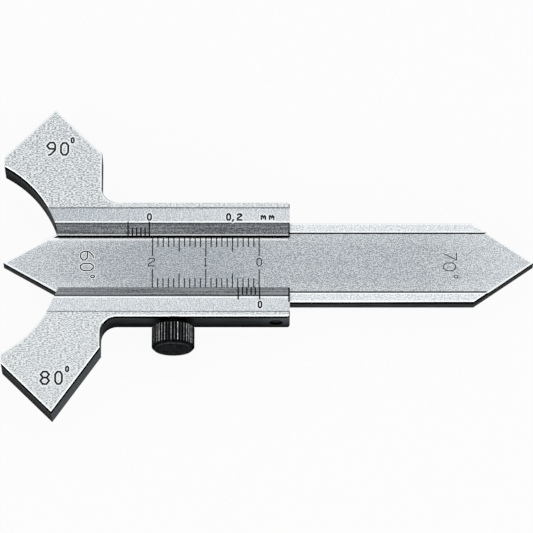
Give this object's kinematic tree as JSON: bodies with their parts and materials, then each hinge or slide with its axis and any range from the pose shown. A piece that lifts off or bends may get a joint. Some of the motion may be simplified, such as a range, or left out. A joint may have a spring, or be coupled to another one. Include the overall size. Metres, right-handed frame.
{
  "type": "weld gauge",
  "caption": "Sliding weld gauge with two angled wings, a pointed graduated slide under bevelled vernier lips and a knurled lock screw.",
  "frame": {"origin": "in the plane of the flat back face, on the slide's centre line, where the lock screw's axis crosses it", "axes": "+X along the slide towards its 70 degree tip, +Y across it towards the 90 degree wing, +Z out of the reading face"},
  "size_m": [0.0994, 0.0602, 0.008],
  "materials": {
    "body_steel": "fine blasted satin",
    "slide_steel": "ground satin",
    "gib_brass": "rolled",
    "screw_black": "blackened",
    "set_screw_steel": "dark turned"
  },
  "bodies": {
    "body": {"gauge_body": "body_steel", "gib_strip": "gib_brass", "gib_set_screw": "set_screw_steel"},
    "slide": {"measuring_slide": "slide_steel"},
    "lock_screw": {"lock_screw": "screw_black"}
  },
  "joints": [
    {"name": "slide_travel", "type": "slide", "parent": "body", "child": "slide", "axis": [1, 0, 0], "range_m": [-0.0206, 0.02]},
    {"name": "lock_screw_turn", "type": "hinge", "parent": "body", "child": "lock_screw", "pos_m": [0, -0.01136, 0.00283], "axis": [0, -1, 0], "range_deg": [0, 360]}
  ]
}
